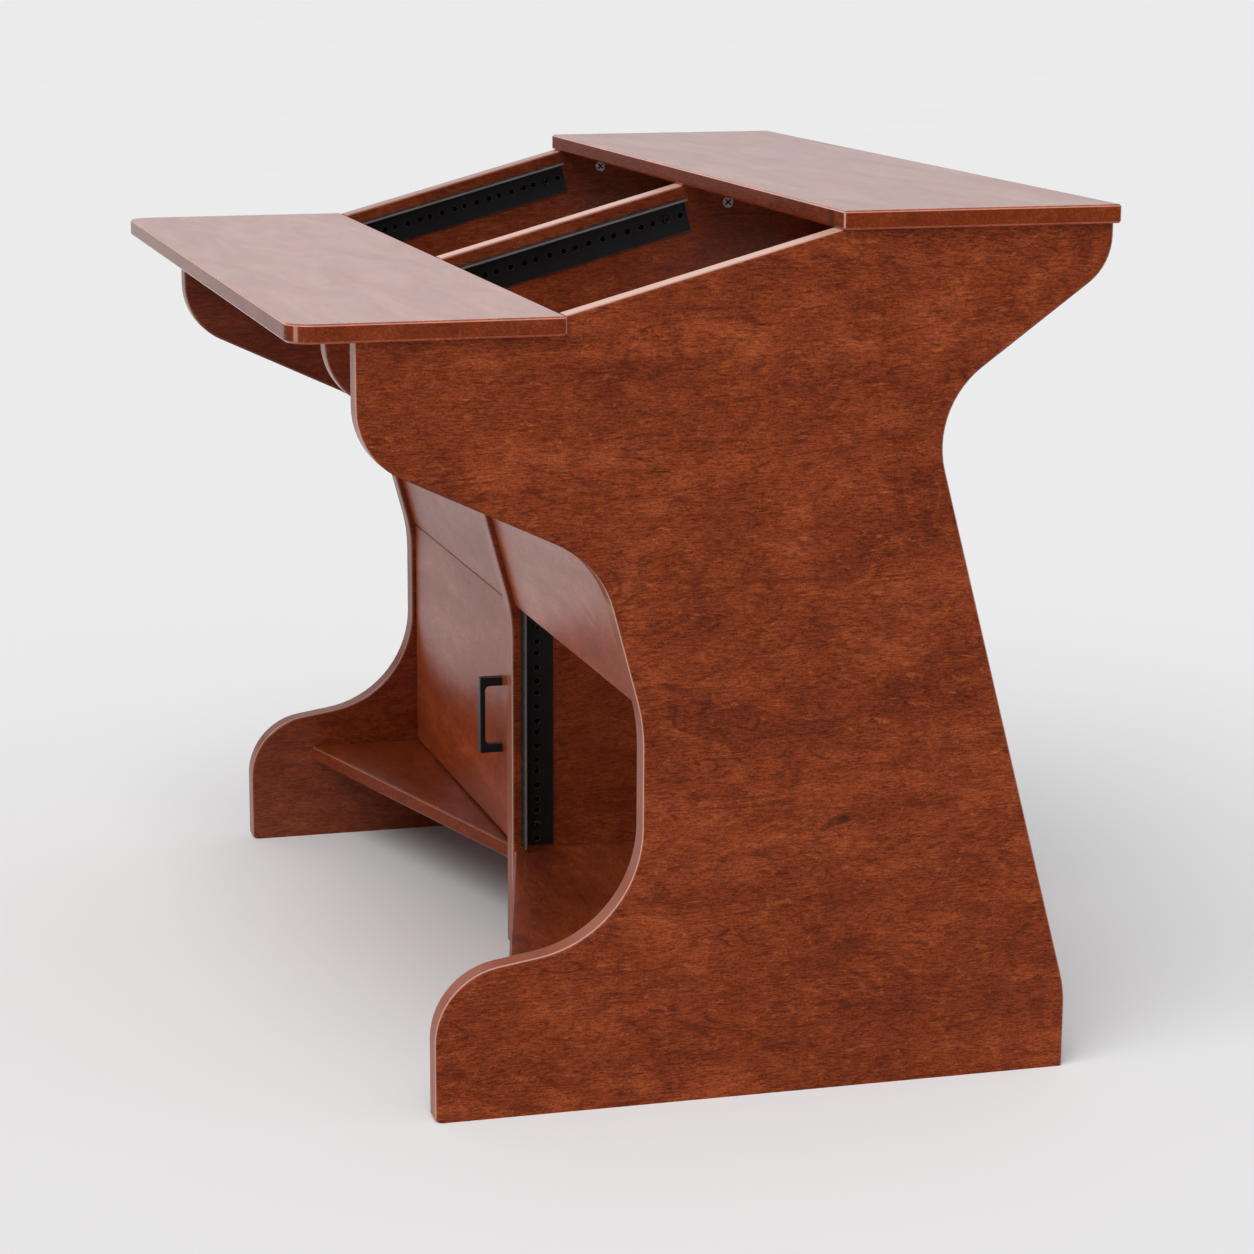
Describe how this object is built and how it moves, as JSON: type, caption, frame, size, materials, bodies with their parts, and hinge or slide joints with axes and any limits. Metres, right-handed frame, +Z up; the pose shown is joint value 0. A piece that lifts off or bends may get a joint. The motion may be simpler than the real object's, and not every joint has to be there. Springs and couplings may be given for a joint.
{
  "type": "recording studio desk",
  "caption": "Wooden studio desk: shaped side panels carry a desktop, slanted equipment racks, a raised shelf and, below, a rack bay and a hinged cupboard door.",
  "frame": {"origin": "on the floor, under the middle of the desk's box", "axes": "+X to the sitter's right, +Y from the sitter to the back, +Z up"},
  "size_m": [1.059, 0.7976, 0.856],
  "materials": {
    "stained_wood": "satin lacquer",
    "black_steel": "satin",
    "black_handle": "satin",
    "zinc_plate": "bright zinc",
    "pivot_steel": "ground",
    "bush_plastic": "matte"
  },
  "bodies": {
    "frame": {"cam_bolts": "zinc_plate", "cam_locks": "zinc_plate", "center_divider": "stained_wood", "desktop": "stained_wood", "left_bottom_shelf": "stained_wood", "left_knee_panel": "stained_wood", "left_rear_rail": "stained_wood", "left_side_panel": "stained_wood", "lower_pivot_bush": "bush_plastic", "lower_right_bay_rail_left": "black_steel", "lower_right_bay_rail_right": "black_steel", "magnetic_catch": "bush_plastic", "rack_rail_screws": "black_steel", "right_bottom_shelf": "stained_wood", "right_knee_panel": "stained_wood", "right_rear_rail": "stained_wood", "right_side_panel": "stained_wood", "top_shelf": "stained_wood", "upper_left_bay_rail_left": "black_steel", "upper_left_bay_rail_right": "black_steel", "upper_pivot_bush": "bush_plastic", "upper_right_bay_rail_left": "black_steel", "upper_right_bay_rail_right": "black_steel"},
    "door": {"door": "stained_wood", "door_handle": "black_handle", "handle_screws": "zinc_plate", "upper_pivot_pin": "pivot_steel", "lower_pivot_pin": "pivot_steel", "strike_plate": "zinc_plate"}
  },
  "joints": [
    {"name": "door_hinge", "type": "hinge", "parent": "frame", "child": "door", "pos_m": [-0.476, -0.05175, 0.252], "axis": [0, 0, -1], "range_deg": [0, 90]}
  ]
}
